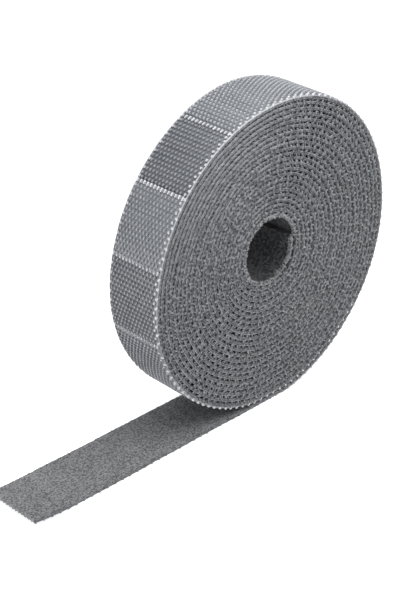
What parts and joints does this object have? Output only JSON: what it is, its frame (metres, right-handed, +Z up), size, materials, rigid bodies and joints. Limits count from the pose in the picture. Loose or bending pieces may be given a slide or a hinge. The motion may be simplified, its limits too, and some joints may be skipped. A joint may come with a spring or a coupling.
{
  "type": "hook and loop tape roll",
  "caption": "Coreless roll of back-to-back hook and loop tape, hooks outwards, wound off centre round a small bore, with a flat tail that bends at its cross seams.",
  "frame": {"origin": "middle of the footprint, on the surface that the roll and its tail lie on", "axes": "+Z up; Y along the roll's axis, across the tape; the tail runs out along -X and the roll stands on the +X side"},
  "size_m": [0.1462, 0.02, 0.1013],
  "materials": {
    "hook_cloth": "grey moulded nylon with a staggered field of small hooks, slightly glossy",
    "loop_cloth": "matt grey brushed pile, finely mottled"
  },
  "bodies": {
    "roll": {"hook_tape_roll": "hook_cloth", "loop_tape_roll": "loop_cloth"},
    "tail_1": {"hook_tape_tail_1": "hook_cloth", "loop_tape_tail_1": "loop_cloth"},
    "tail_2": {"hook_tape_tail_2": "hook_cloth", "loop_tape_tail_2": "loop_cloth"},
    "tail_3": {"hook_tape_tail_3": "hook_cloth", "loop_tape_tail_3": "loop_cloth"}
  },
  "joints": [
    {"name": "tail_bend_1", "type": "hinge", "parent": "roll", "child": "tail_1", "pos_m": [-0.00351, 0, 0.0005], "axis": [0, 1, 0], "range_deg": [-60, 30], "stiffness_Nm_per_rad": 0.0017},
    {"name": "tail_bend_2", "type": "hinge", "parent": "tail_1", "child": "tail_2", "pos_m": [-0.02671, 0, 0.0005], "axis": [0, 1, 0], "range_deg": [-60, 30], "stiffness_Nm_per_rad": 0.0017},
    {"name": "tail_bend_3", "type": "hinge", "parent": "tail_2", "child": "tail_3", "pos_m": [-0.04991, 0, 0.0005], "axis": [0, 1, 0], "range_deg": [-60, 30], "stiffness_Nm_per_rad": 0.0017}
  ]
}
